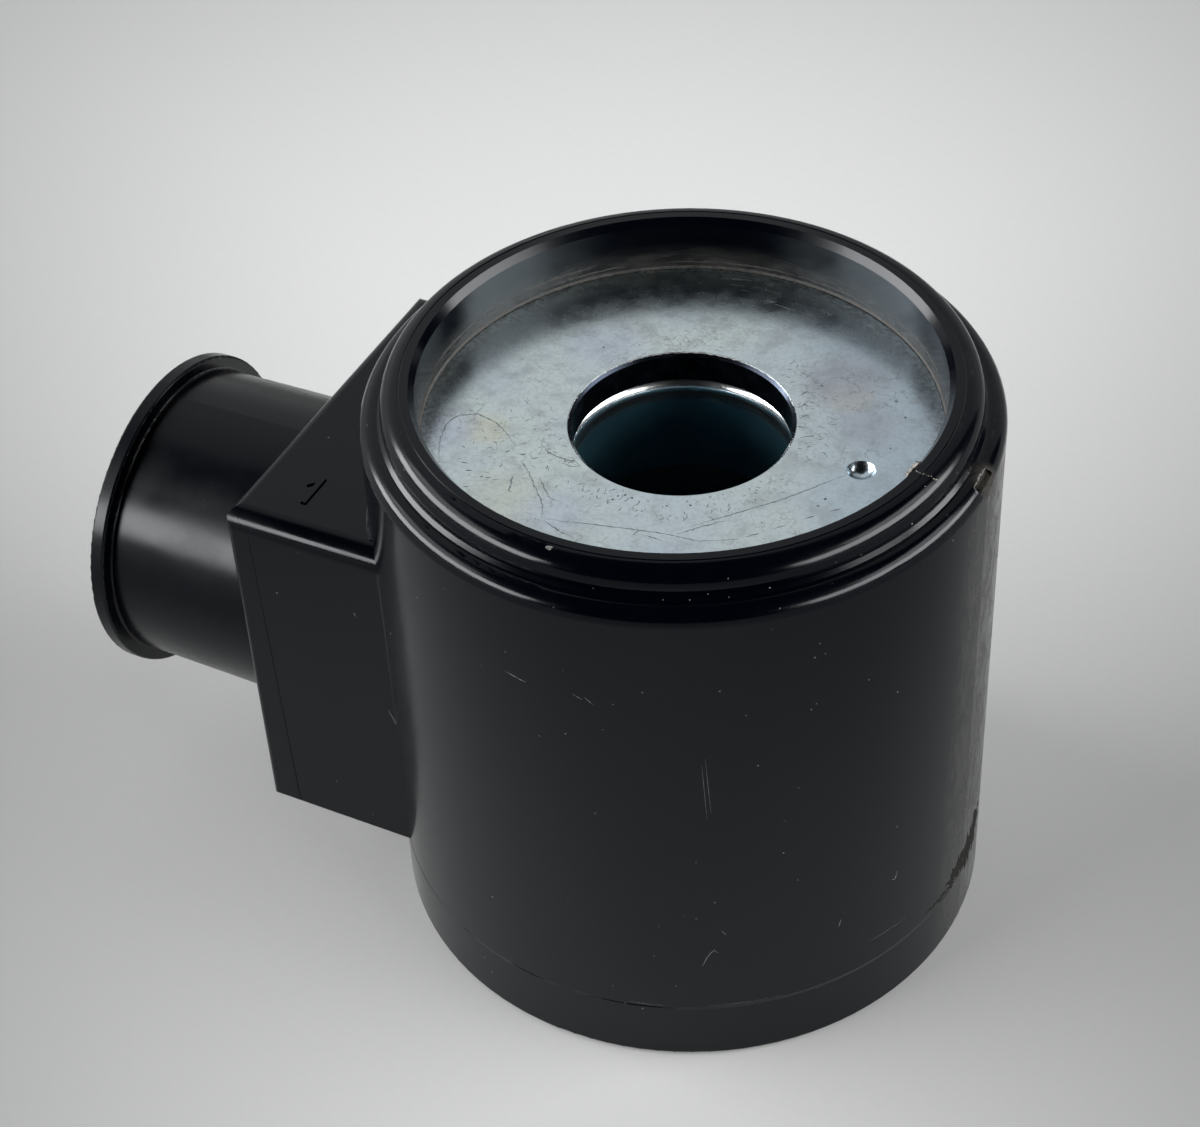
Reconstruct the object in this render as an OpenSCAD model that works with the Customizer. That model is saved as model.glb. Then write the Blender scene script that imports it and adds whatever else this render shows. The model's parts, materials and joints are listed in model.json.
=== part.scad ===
// Encapsulated solenoid valve coil with a side connector
// The bore is along Z from the flat seat at z = 0, and the connector points along -X

/* [Bore] */
// Diameter of the bore for the valve tube
bore_d = 16.2; // [15:0.1:17]

/* [Body] */
// Outside diameter of the round body at its shoulder
body_d = 46.8; // [46.4:0.1:54]
// How much the body's radius grows from the shoulder down to the seat, to leave the mould
body_draft = 0.2; // [0:0.05:0.5]
// Height of the body up to its shoulder
body_h = 46; // [42:0.5:56]
// Fillet on the shoulder
shoulder_fillet = 1.2; // [0.4:0.05:1.3]
// Fillet on the bottom edge
base_fillet = 0.4; // [0.2:0.1:1.5]
// Height of the mould line round the body
mould_line_h = 5.6; // [3:0.05:6]
// Width of the gate mark on the shoulder
gate_w = 2.5; // [1.5:0.1:4]
// How far the gate mark cuts into the shoulder
gate_cut = 0.6; // [0.2:0.05:0.8]

/* [Rim] */
// Outside diameter of the raised rim
rim_d = 43.5; // [42:0.1:43.8]
// Rise of the rim above the shoulder
rim_rise = 2.15; // [1.9:0.05:3.5]
// Fillet on the outer edge of the rim
rim_fillet = 1.45; // [0.4:0.05:1.6]
// Width of the chamfer on the inner edge of the rim
rim_chamfer_w = 0.4; // [0.1:0.02:0.6]
// Depth of the chamfer on the inner edge of the rim
rim_chamfer_h = 0.56; // [0.2:0.02:1]
// Bevel at the foot of the rim
rim_foot = 0.25; // [0.1:0.05:0.3]
// Depth of the recess from the rim to the upper plate
recess_depth = 4.55; // [3.5:0.05:6]

/* [Flux plates] */
// Diameter of the steel plates
plate_d = 38.3; // [37.8:0.1:38.8]
// Thickness of the steel plates
plate_t = 2.4; // [1.6:0.1:3.2]
// Rounding of the stamped outer edge of the plates
plate_round = 0.1; // [0.05:0.05:0.9]
// Chamfer of the hole in the upper plate
hole_chamfer = 0.25; // [0.1:0.05:0.6]
// Gap between a plate and the housing round it
plate_gap = 0.04; // [0.02:0.02:0.3]
// Diameter of the locating dimple in the upper plate
dimple_d = 2.1; // [1.4:0.1:3]
// Depth of the locating dimple
dimple_depth = 0.6; // [0.2:0.05:0.8]
// Distance of the dimple from the bore axis
dimple_place = 14; // [11:0.5:16]

/* [Flux shell and collars] */
// Outside diameter of the rolled shell
shell_d = 41.2; // [40.4:0.1:42.4]
// Thickness of the rolled shell
shell_t = 2; // [1.2:0.1:2.1]
// Width of the open seam of the shell on the connector side
seam_w = 12; // [11:0.5:16]
// Gap between the shell and the moulding round it
mould_gap = 0.05; // [0.02:0.01:0.2]
// Wall thickness of the flux collars
collar_t = 1.2; // [0.8:0.1:1.5]
// Diameter of the flange of the flux collars
collar_flange_d = 28; // [22:0.5:32]
// Length of a flux collar with its flange
collar_l = 8.4; // [5:0.2:12]
// Radius of the rounded lip of the flux collars
collar_lip = 1.1; // [0.5:0.1:1.3]

/* [Bobbin and winding] */
// Thickness of the bobbin's tube round the collars
bobbin_wall = 1.2; // [0.8:0.1:2]
// Thickness of the bobbin's end flanges
bobbin_flange_t = 1.6; // [1.4:0.1:2.4]
// Diameter of the bobbin's end flanges
bobbin_flange_d = 36.2; // [34:0.2:36.6]
// Radial gap between bobbin and collars, and between bobbin and winding
bobbin_gap = 0.05; // [0.02:0.01:0.15]
// Extra radius of the bobbin's bore over the bore of the steel
bobbin_bore_extra = 0.1; // [0.05:0.05:0.3]
// Inset of the winding from the edge of the bobbin's flanges
winding_inset = 0.2; // [0:0.1:2]
// Thickness of the tape round the winding
wrap_t = 0.3; // [0.1:0.1:0.4]
// Bare top end of the winding above the tape
wrap_margin = 2.4; // [2:0.1:4]
// Diameter of the wire ends
lead_d = 0.6; // [0.3:0.1:0.8]
// Diameter of the sleeve on the start lead
sleeve_d = 1.1; // [0.9:0.05:1.3]
// Diameter of the solder joints
solder_d = 1.4; // [1.1:0.1:1.8]

/* [Tower] */
// Distance of the tower's outer face from the bore axis
tower_reach = 31; // [29:0.2:36]
// Width of the tower
tower_w = 30.6; // [26.6:0.1:34]
// Height of the tower's underside above the seat
tower_bottom = 5.8; // [3:0.1:6.8]
// Height of the tower's top face above the seat
tower_top = 36.4; // [33:0.2:40]
// Fillet along the long top edges of the tower
tower_fillet = 1.6; // [0.4:0.1:2]
// Fillet along the outer top edge of the tower
tower_end_fillet = 0.9; // [0.3:0.1:1.5]
// Fillet along the bottom edges of the tower
tower_edge = 0.3; // [0.2:0.1:1]
// Fillet on the upright corners of the tower
tower_corner = 0.6; // [0.3:0.1:0.8]
// Hollow fillet between the tower's sides and the body
tower_blend = 0.4; // [0.3:0.1:2]
// Hollow fillet between the tower's top and the body
top_blend = 0.3; // [0.2:0.1:1.5]
// Distance of the mould lines on the tower's sides from its outer face, at the tower's top
tower_line_top = 1.9; // [1.5:0.1:4]
// The same distance at the tower's underside
tower_line_foot = 2.7; // [1.5:0.1:4]
// Height of the cavity number on the tower's top
numeral_h = 3.1; // [2:0.1:5]
// Rise of the cavity number
numeral_rise = 0.15; // [0.1:0.05:0.4]

/* [Mould lines] */
// Width of the fine grooves along the mould lines
line_w = 0.14; // [0.1:0.02:0.4]
// Depth of the fine grooves along the mould lines
line_depth = 0.04; // [0.03:0.01:0.15]

/* [Connector] */
// Height of the connector axis above the seat
connector_h = 19.45; // [18.6:0.05:22]
// Diameter of the barrel where it leaves the tower
barrel_root_d = 25; // [23.4:0.1:26]
// Diameter of the barrel at its flange
barrel_end_d = 24.5; // [23:0.1:25]
// Distance of the barrel's open end from the bore axis
barrel_reach = 47.5; // [44:0.5:56]
// Diameter of the flange at the open end
barrel_flange_d = 26.8; // [25.6:0.1:29]
// Thickness of the flange at the open end
barrel_flange_t = 1.3; // [0.9:0.1:2.5]
// Rounding of the flange's edges and of its root
barrel_flange_round = 0.2; // [0.1:0.05:0.4]
// Diameter of the socket
socket_d = 20.4; // [18:0.1:20.8]
// Depth of the socket
socket_depth = 12.5; // [9:0.5:13.5]
// Chamfer of the socket's mouth
socket_chamfer = 0.6; // [0.2:0.1:1]
// Diameter of the carrier that holds the contacts
carrier_d = 16; // [13:0.2:17.6]
// Length of the carrier behind the socket's floor
carrier_l = 9; // [6:0.5:10]
// Height of the carrier above the socket's floor
carrier_proud = 1; // [0.4:0.2:2]
// Radial gap between carrier and housing
carrier_gap = 0.05; // [0.02:0.01:0.15]
// Diameter of the contact pins
pin_d = 2.5; // [1.5:0.1:3]
// Distance between the contact pins
pin_pitch = 7; // [6:0.5:8]
// Depth of the pin tips below the socket's mouth
pin_tip_depth = 3.5; // [2:0.5:7]
// Diameter of the riveted tail of a pin
pin_tail_d = 1.4; // [0.8:0.1:1.4]
// Radial gap between a pin and what it passes through
pin_gap = 0.02; // [0.01:0.01:0.1]
// Width of the terminal strips
strip_w = 3; // [2.4:0.1:3.6]
// Thickness of the terminal strips
strip_t = 0.8; // [0.4:0.1:1]
// Length of a strip below the contact pin
strip_tail = 2; // [1.8:0.1:5]
// Gap between the terminal strips and the bobbin
strip_gap = 0.8; // [0.75:0.05:0.9]
// Distance of a strip's top end below the bobbin's upper flange
strip_drop = 0.8; // [0.75:0.05:1.2]

/* [Hidden] */
$fn = 96;
// Overlap that lets cuts pass their faces and joined shapes meet inside
over = 0.5;

bore_r = bore_d / 2;
body_r = body_d / 2;
body_foot_r = body_r + body_draft;
rim_r = rim_d / 2;
plate_r = plate_d / 2;
recess_r = plate_r + plate_gap;
shell_r = shell_d / 2;
cavity_r = shell_r + mould_gap;

rim_top = body_h + rim_rise;
plate_top = rim_top - recess_depth;
stack_bottom = plate_t;
stack_top = plate_top - plate_t;

collar_r = bore_r + collar_t;
bobbin_bottom = stack_bottom + collar_t;
bobbin_top = stack_top - collar_t;
bobbin_pocket_r = collar_r + bobbin_gap;
bobbin_tube_r = bobbin_pocket_r + bobbin_wall;
bobbin_flange_r = bobbin_flange_d / 2;
winding_bottom = bobbin_bottom + bobbin_flange_t;
winding_top = bobbin_top - bobbin_flange_t;
winding_inner_r = bobbin_tube_r + bobbin_gap;
winding_r = bobbin_flange_r - winding_inset;
wrap_r = winding_r + wrap_t;

tower_half = tower_w / 2;
// Place of the cavity number from the tower's outer face and from its front side
numeral_inset = 5.3;
numeral_margin = 3.25;
carrier_back = barrel_reach - socket_depth - carrier_l;
pin_y = pin_pitch / 2;
strip_x = max(bobbin_flange_r, wrap_r) + strip_gap;
strip_top = winding_top - strip_drop;
lead_r = lead_d / 2;
start_lead_z = bobbin_top - bobbin_flange_t / 2;
start_lead_x = winding_inner_r + lead_d;
finish_lead_z = strip_top - solder_d / 2;
// How far a lead stops short of the curved side of the winding
lead_stop = 0.1;
solder_gap = 0.01;

plastic = "#1c1c1e";
plated = "#b9bcc0";
copper = "#b5652f";
tape = "#c9a24a";
brass = "#c2a45a";
tin = "#c8c9cb";

// What a fillet takes off a corner at the origin whose solid lies to the left and below
module corner_cut(r) {
    translate([-r, -r]) difference() {
        square(r + over);
        circle(r);
    }
}

// What a hollow fillet adds to an inner corner at the origin, open to the right and above
module corner_fill(r) {
    difference() {
        translate([-over, -over]) square(r + over);
        translate([r, r]) circle(r);
    }
}

// What a fine groove takes off a face at the origin that looks to the right
module line_cut() {
    polygon([[-line_depth, 0], [0, -line_w / 2], [over, -line_w / 2], [over, line_w / 2], [0, line_w / 2]]);
}

// Flat ring between two radii and two heights, as a profile to be turned
module ring_profile(inner_r, outer_r, z0, z1) {
    translate([inner_r, z0]) square([outer_r - inner_r, z1 - z0]);
}

// Turned shape laid along the connector axis, with the profile's height as distance from the bore
module on_connector_axis(y = 0) {
    translate([0, y, connector_h]) rotate([0, -90, 0]) children();
}

// Radius of the tapered body at a height above the seat
function body_r_at(z) = body_foot_r - body_draft * z / body_h;

// Round body with its shoulder and the raised rim
module body_form() {
    rotate_extrude() difference() {
        union() {
            polygon([[0, 0], [body_foot_r, 0], [body_r, body_h], [0, body_h]]);
            ring_profile(0, rim_r, 0, rim_top);
            polygon([[rim_r - over, body_h - over], [rim_r - over, body_h + rim_foot],
                [rim_r, body_h + rim_foot], [rim_r + rim_foot, body_h], [rim_r + rim_foot, body_h - over]]);
        }
        translate([body_r, body_h]) corner_cut(shoulder_fillet);
        translate([body_foot_r, 0]) mirror([0, 1]) corner_cut(base_fillet);
        translate([rim_r, rim_top]) corner_cut(rim_fillet);
        translate([rim_r - rim_fillet, rim_top]) rotate(90) line_cut();
        translate([body_r_at(mould_line_h), mould_line_h]) line_cut();
    }
}

// Outline of the tower from above
module tower_plan() {
    difference() {
        translate([-tower_reach, -tower_half]) square([tower_reach, tower_w]);
        for (side = [0, 1]) mirror([0, side])
            translate([-tower_reach, tower_half]) mirror([1, 0]) corner_cut(tower_corner);
    }
}

// Outline of the tower from the connector side
module tower_section() {
    difference() {
        translate([-tower_half, tower_bottom]) square([tower_w, tower_top - tower_bottom]);
        for (side = [0, 1]) mirror([side, 0]) {
            translate([tower_half, tower_top]) corner_cut(tower_fillet);
            translate([tower_half, tower_bottom]) mirror([0, 1]) corner_cut(tower_edge);
        }
    }
}

// Outline of the tower from the side
module tower_side() {
    difference() {
        translate([-tower_reach, tower_bottom]) square([tower_reach, tower_top - tower_bottom]);
        translate([-tower_reach, tower_top]) mirror([1, 0]) corner_cut(tower_end_fillet);
        translate([-tower_reach, tower_bottom]) rotate(180) corner_cut(tower_edge);
    }
}

// Cavity number as an outline, its foot and its right edge at the origin
module numeral_plan() {
    stroke = numeral_h * 0.145;
    polygon([[0, 0], [0, numeral_h], [-0.1 * numeral_h, numeral_h], [-0.34 * numeral_h, 0.74 * numeral_h],
        [-0.32 * numeral_h, 0.6 * numeral_h], [-stroke, 0.77 * numeral_h], [-stroke, 0]]);
}

// Hollow fillet between one side of the tower and the round body, as an outline from above
module tower_blend_plan() {
    side_r = body_r_at(tower_top);
    blend_y = tower_half + tower_blend;
    blend_x = -sqrt(pow(side_r + tower_blend, 2) - pow(blend_y, 2));
    touch = side_r / (side_r + tower_blend);
    difference() {
        polygon([[blend_x, tower_half], [blend_x, tower_half - over],
            [blend_x * touch + over, tower_half - over], [blend_x * touch, blend_y * touch]]);
        translate([blend_x, blend_y]) circle(tower_blend);
    }
}

// Block beside the body that carries the connector, with the fillets where it meets the body
module tower_form() {
    intersection() {
        translate([0, 0, tower_bottom]) linear_extrude(tower_top - tower_bottom) tower_plan();
        translate([-tower_reach, 0, 0]) rotate([90, 0, 90]) linear_extrude(tower_reach) tower_section();
        translate([0, tower_half, 0]) rotate([90, 0, 0]) linear_extrude(tower_w) tower_side();
    }
    for (side = [0, 1]) mirror([0, side, 0]) translate([0, 0, tower_bottom + tower_edge])
        linear_extrude(tower_top - tower_bottom - tower_edge - tower_fillet) tower_blend_plan();
    intersection() {
        rotate_extrude() translate([body_r_at(tower_top), tower_top]) corner_fill(top_blend);
        translate([-tower_reach, -tower_half + tower_fillet, tower_top - over])
            cube([tower_reach, tower_w - 2 * tower_fillet, top_blend + over]);
    }
    translate([-tower_reach + numeral_inset, -tower_half + numeral_margin, tower_top - over])
        linear_extrude(over + numeral_rise) numeral_plan();
}

// What the mould lines on the sides of the tower and the gate mark take off the housing
module mould_marks() {
    tower_h = tower_top - tower_bottom;
    lean = atan((tower_line_foot - tower_line_top) / tower_h);
    for (side = [0, 1]) mirror([0, side, 0])
        translate([-tower_reach + tower_line_foot, tower_half, tower_bottom]) rotate([0, -lean, 0])
            translate([0, 0, -2 * over]) linear_extrude(tower_h + 4 * over) rotate(90) line_cut();
    translate([body_r - gate_cut, -gate_w / 2, body_h - gate_cut])
        cube([gate_cut + over, gate_w, gate_cut + over]);
}

// Tapered barrel with the thin flange at its open end
module barrel_form() {
    flange_start = barrel_reach - barrel_flange_t;
    flange_r = barrel_flange_d / 2;
    on_connector_axis() rotate_extrude() {
        polygon([[0, tower_reach - over], [barrel_root_d / 2, tower_reach - over],
            [barrel_root_d / 2, tower_reach], [barrel_end_d / 2, flange_start], [0, flange_start]]);
        difference() {
            ring_profile(0, flange_r, flange_start, barrel_reach);
            translate([flange_r, barrel_reach]) corner_cut(barrel_flange_round);
            translate([flange_r, flange_start]) mirror([0, 1]) corner_cut(barrel_flange_round);
        }
        translate([barrel_end_d / 2, flange_start]) mirror([0, 1]) corner_fill(barrel_flange_round);
    }
}

// Space in the housing for the plates, the shell and the wound bobbin, with the chamfered recess
module coil_space() {
    rotate_extrude() {
        ring_profile(0, recess_r, -over, rim_top + over);
        ring_profile(0, cavity_r, stack_bottom, stack_top);
        polygon([[recess_r - over, rim_top - rim_chamfer_h], [recess_r, rim_top - rim_chamfer_h],
            [recess_r + rim_chamfer_w, rim_top], [recess_r + rim_chamfer_w, rim_top + over],
            [recess_r - over, rim_top + over]]);
    }
}

// Space in the housing for the plug, the carrier and the contact pins
module connector_space() {
    mouth_r = socket_d / 2 + socket_chamfer;
    floor_x = barrel_reach - socket_depth;
    on_connector_axis() rotate_extrude() {
        ring_profile(0, socket_d / 2, floor_x, barrel_reach + over);
        ring_profile(0, carrier_d / 2 + carrier_gap, carrier_back, floor_x + over);
        polygon([[0, barrel_reach - socket_chamfer], [socket_d / 2, barrel_reach - socket_chamfer],
            [mouth_r, barrel_reach], [mouth_r, barrel_reach + over], [0, barrel_reach + over]]);
    }
    for (side = [-1, 1]) on_connector_axis(side * pin_y)
        translate([0, 0, strip_x]) cylinder(r = pin_d / 2 + pin_gap, h = carrier_back + over - strip_x);
}

module housing() {
    color(plastic) difference() {
        union() {
            body_form();
            tower_form();
            barrel_form();
        }
        coil_space();
        connector_space();
        mould_marks();
    }
}

// Steel plate with its outer face up and a rounded outer edge on that face
module flux_plate(chamfer) {
    rotate_extrude() difference() {
        ring_profile(bore_r, plate_r, 0, plate_t);
        translate([plate_r, plate_t]) corner_cut(plate_round);
        polygon([[bore_r - over, plate_t - chamfer], [bore_r, plate_t - chamfer],
            [bore_r + chamfer, plate_t], [bore_r + chamfer, plate_t + over],
            [bore_r - over, plate_t + over]]);
    }
}

module upper_flux_plate() {
    dimple_ball = (pow(dimple_d / 2, 2) + pow(dimple_depth, 2)) / (2 * dimple_depth);
    color(plated) difference() {
        translate([0, 0, stack_top]) flux_plate(hole_chamfer);
        translate([dimple_place, 0, plate_top + dimple_ball - dimple_depth]) sphere(dimple_ball);
    }
}

module lower_flux_plate() {
    color(plated) rotate_extrude() difference() {
        ring_profile(bore_r, plate_r, 0, plate_t);
        translate([plate_r, 0]) mirror([0, 1]) corner_cut(plate_round);
    }
}

// Rolled shell between the plates, open on the connector side
module flux_shell() {
    color(plated) difference() {
        rotate_extrude() ring_profile(shell_r - shell_t, shell_r, stack_bottom, stack_top);
        translate([-shell_r - over, -seam_w / 2, stack_bottom - over])
            cube([shell_r, seam_w, stack_top - stack_bottom + 2 * over]);
    }
}

// Drawn sleeve with its flange up and a rounded lip inside, the flange's face at the origin
module flux_collar() {
    rotate_extrude() difference() {
        union() {
            ring_profile(bore_r, collar_r, -collar_l, 0);
            ring_profile(bore_r, collar_flange_d / 2, -collar_t, 0);
        }
        translate([bore_r, 0]) mirror([1, 0]) corner_cut(collar_lip);
    }
}

module upper_flux_collar() {
    color(plated) translate([0, 0, stack_top]) flux_collar();
}

module lower_flux_collar() {
    color(plated) translate([0, 0, stack_bottom]) mirror([0, 0, 1]) flux_collar();
}

// Spool with a pocket for a collar at each end and a slot for the start lead
module bobbin() {
    slot_w = sleeve_d + 2 * bobbin_gap;
    color(plastic) difference() {
        rotate_extrude() difference() {
            union() {
                ring_profile(bore_r + bobbin_bore_extra, bobbin_tube_r, bobbin_bottom, bobbin_top);
                ring_profile(bobbin_pocket_r, bobbin_flange_r, bobbin_bottom, winding_bottom);
                ring_profile(bobbin_pocket_r, bobbin_flange_r, winding_top, bobbin_top);
            }
            ring_profile(0, bobbin_pocket_r, bobbin_bottom - over, stack_bottom + collar_l + bobbin_gap);
            ring_profile(0, bobbin_pocket_r, stack_top - collar_l - bobbin_gap, bobbin_top + over);
        }
        translate([-bobbin_flange_r - over, -pin_y - slot_w / 2, winding_top])
            cube([bobbin_flange_r + over - winding_inner_r, slot_w, bobbin_flange_t + over]);
    }
}

module winding() {
    color(copper) rotate_extrude() ring_profile(winding_inner_r, winding_r, winding_bottom, winding_top);
}

module winding_wrap() {
    color(tape) rotate_extrude()
        ring_profile(winding_r + bobbin_gap, wrap_r, winding_bottom, winding_top - wrap_margin);
}

// Moulded insert with a hole for each contact pin
module terminal_carrier() {
    color(plastic) difference() {
        on_connector_axis() translate([0, 0, carrier_back])
            cylinder(d = carrier_d, h = carrier_l + carrier_proud);
        for (side = [-1, 1]) on_connector_axis(side * pin_y) translate([0, 0, carrier_back - over])
            cylinder(r = pin_d / 2 + pin_gap, h = carrier_l + carrier_proud + 2 * over);
    }
}

// Turned pin with a round tip and a thin tail that is riveted through its strip
module contact_pin(side) {
    pin_start = strip_x + strip_t;
    tip_start = barrel_reach - pin_tip_depth - pin_d / 2;
    color(brass) on_connector_axis(side * pin_y) {
        translate([0, 0, strip_x]) cylinder(d = pin_tail_d, h = strip_t + over);
        translate([0, 0, pin_start]) cylinder(d = pin_d, h = tip_start - pin_start);
        translate([0, 0, tip_start]) sphere(d = pin_d);
    }
}

module contact_pin_a() { contact_pin(-1); }

module contact_pin_b() { contact_pin(1); }

// Flat strip in the seam of the shell, from the pin up to the lead
module terminal_strip(side) {
    strip_bottom = connector_h - strip_tail;
    color(tin) difference() {
        translate([-strip_x - strip_t, side * pin_y - strip_w / 2, strip_bottom])
            cube([strip_t, strip_w, strip_top - strip_bottom]);
        on_connector_axis(side * pin_y) translate([0, 0, strip_x - over])
            cylinder(d = pin_tail_d + 2 * pin_gap, h = strip_t + 2 * over);
    }
}

module terminal_strip_a() { terminal_strip(-1); }

module terminal_strip_b() { terminal_strip(1); }

// Wire from the innermost layer, through the slot of the upper flange and down to strip a
module start_lead() {
    end_x = strip_x + strip_t / 2;
    color(copper) translate([0, -pin_y, 0]) {
        translate([-start_lead_x, 0, winding_top]) cylinder(r = lead_r, h = start_lead_z - winding_top);
        translate([-start_lead_x, 0, start_lead_z]) sphere(lead_r);
        translate([-end_x, 0, start_lead_z]) rotate([0, 90, 0])
            cylinder(r = lead_r, h = end_x - start_lead_x);
        translate([-end_x, 0, start_lead_z]) sphere(lead_r);
        translate([-end_x, 0, strip_top]) cylinder(r = lead_r, h = start_lead_z - strip_top);
    }
}

// Wire from the outermost layer straight to strip b
module finish_lead() {
    winding_x = sqrt(pow(winding_r, 2) - pow(pin_y - lead_r, 2)) + lead_stop;
    color(copper) translate([-strip_x, pin_y, finish_lead_z]) rotate([0, 90, 0])
        cylinder(r = lead_r, h = strip_x - winding_x);
}

// Sleeve on the start lead where it crosses the end of the winding
module start_sleeve() {
    sleeve_start = start_lead_x + sleeve_d;
    color(tape) translate([-strip_x + lead_r, -pin_y, start_lead_z]) rotate([0, 90, 0]) difference() {
        cylinder(d = sleeve_d, h = strip_x - lead_r - sleeve_start);
        translate([0, 0, -over]) cylinder(r = lead_r + solder_gap, h = strip_x + over);
    }
}

// Dome of solder on a flat face at the origin, with the lead standing up through it
module solder_dome() {
    color(tin) difference() {
        sphere(d = solder_d);
        translate([-solder_d, -solder_d, -2 * solder_d]) cube(2 * solder_d);
        translate([0, 0, -over]) cylinder(r = lead_r + solder_gap, h = solder_d + over);
    }
}

module start_solder() {
    translate([-strip_x - strip_t / 2, -pin_y, strip_top]) solder_dome();
}

module finish_solder() {
    translate([-strip_x, pin_y, finish_lead_z]) rotate([0, 90, 0]) solder_dome();
}

housing();
upper_flux_plate();
lower_flux_plate();
flux_shell();
upper_flux_collar();
lower_flux_collar();
bobbin();
winding();
winding_wrap();
terminal_carrier();
contact_pin_a();
contact_pin_b();
terminal_strip_a();
terminal_strip_b();
start_lead();
finish_lead();
start_sleeve();
start_solder();
finish_solder();
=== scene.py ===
import json
from math import cos, pi, radians, sin, tan
from random import Random

import bmesh
import bpy
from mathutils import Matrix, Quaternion, Vector
from mathutils.bvhtree import BVHTree

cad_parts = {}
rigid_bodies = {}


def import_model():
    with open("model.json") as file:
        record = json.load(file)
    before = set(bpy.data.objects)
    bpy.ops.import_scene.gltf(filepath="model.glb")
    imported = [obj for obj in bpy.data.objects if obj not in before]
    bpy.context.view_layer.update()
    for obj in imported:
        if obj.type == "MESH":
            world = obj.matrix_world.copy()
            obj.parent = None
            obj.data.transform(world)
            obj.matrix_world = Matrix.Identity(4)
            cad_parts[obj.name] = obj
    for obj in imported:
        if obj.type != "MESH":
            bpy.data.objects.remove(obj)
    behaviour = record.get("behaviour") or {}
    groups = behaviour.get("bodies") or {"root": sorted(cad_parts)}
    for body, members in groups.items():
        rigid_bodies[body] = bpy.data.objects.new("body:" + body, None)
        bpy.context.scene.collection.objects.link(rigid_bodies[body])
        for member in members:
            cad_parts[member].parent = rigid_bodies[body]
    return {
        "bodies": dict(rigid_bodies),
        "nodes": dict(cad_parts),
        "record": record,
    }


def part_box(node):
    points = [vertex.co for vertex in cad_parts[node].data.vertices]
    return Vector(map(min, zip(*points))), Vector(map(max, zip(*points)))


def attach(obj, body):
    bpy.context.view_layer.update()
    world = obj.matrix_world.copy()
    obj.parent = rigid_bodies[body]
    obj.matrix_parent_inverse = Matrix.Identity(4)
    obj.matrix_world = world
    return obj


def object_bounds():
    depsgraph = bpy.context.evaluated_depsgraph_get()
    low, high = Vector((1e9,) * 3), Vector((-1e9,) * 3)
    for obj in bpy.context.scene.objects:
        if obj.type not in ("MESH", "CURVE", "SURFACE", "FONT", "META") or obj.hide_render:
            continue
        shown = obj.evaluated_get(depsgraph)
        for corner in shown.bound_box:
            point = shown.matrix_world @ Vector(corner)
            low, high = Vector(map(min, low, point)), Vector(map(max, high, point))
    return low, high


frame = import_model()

MM = 0.001

# The box of the solids, taken before the stage is added
CAD_BOX = [list(corner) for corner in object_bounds()]

# The picture's frame, in pixels, and the camera that was solved from the round edges
PICTURE_WIDTH = 1200
PICTURE_HEIGHT = 1127
FOCAL_PIXELS = 2600
SENSOR_MM = 36
CAMERA_AZIMUTH = radians(25.74)
CAMERA_ELEVATION = radians(41.728)
CAMERA_ROLL = radians(-1.457)
CAMERA_DISTANCE = 198.356 * MM
TARGET = Vector((0, 0, 30 * MM))
TARGET_PIXEL = (685.319, 560.835)
CLIP_START = 10 * MM

# Level directions as the camera sees them
AWAY = Vector((-sin(CAMERA_AZIMUTH), cos(CAMERA_AZIMUTH), 0))
RIGHT = Vector((cos(CAMERA_AZIMUTH), sin(CAMERA_AZIMUTH), 0))
UP = Vector((0, 0, 1))

# Places on the part that finishes and marks go by, in mm
BORE_RADIUS = 8.1
BODY_RADIUS = 23.5
RECESS_RADIUS = 19.0
PLATE_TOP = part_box("upper_flux_plate")[1][2] / MM
GATE_MARK = (23.15, 0.3, 45.4)
GATE_SIZE = 3.6
MOULD_LINE = 5.6
COLLAR_LIP = 1.1
COLLAR_ENDS = (
    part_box("lower_flux_collar")[0][2] / MM,
    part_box("upper_flux_collar")[1][2] / MM,
)

# Where a finish starts and where it is full, in mm
RECESS_SIDE = (20.2, 19.6)
# Height band of the dirt on the recess wall, which is also a painted sheen that lightens the wall
GRIME_AND_SHEEN_HEIGHT = (PLATE_TOP + 2.6, PLATE_TOP + 0.3)
WORN_DEPTH = (21.6, 22.8)
UNDER_SHOULDER = (45.0, 44.0)
BARREL_START = (30.0, 31.5)
# Painted light in the mould-line groove, to lighten its shade
LINE_PAINTED_LIGHT = (0.16, 0.09)
LINE_SIDE = (22.8, 23.2)
PLATE_EDGE = (17.0, 19.1)
# Painted shade on the wall of the plate's hole
HOLE_WALL_SHADE = (BORE_RADIUS + 0.3, BORE_RADIUS + 0.2)
# Painted shade across the upper plate, darker and bluer towards the far side
FAR_PAINTED_SHADE = (5.0, 15.0)

# The values between which most of a noise lies, and a soft spot's rim and core as shares of its size
NOISE_SPAN = (0.3, 0.7)
SPOT_RIM = 0.5
SPOT_CORE = 0.15

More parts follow.
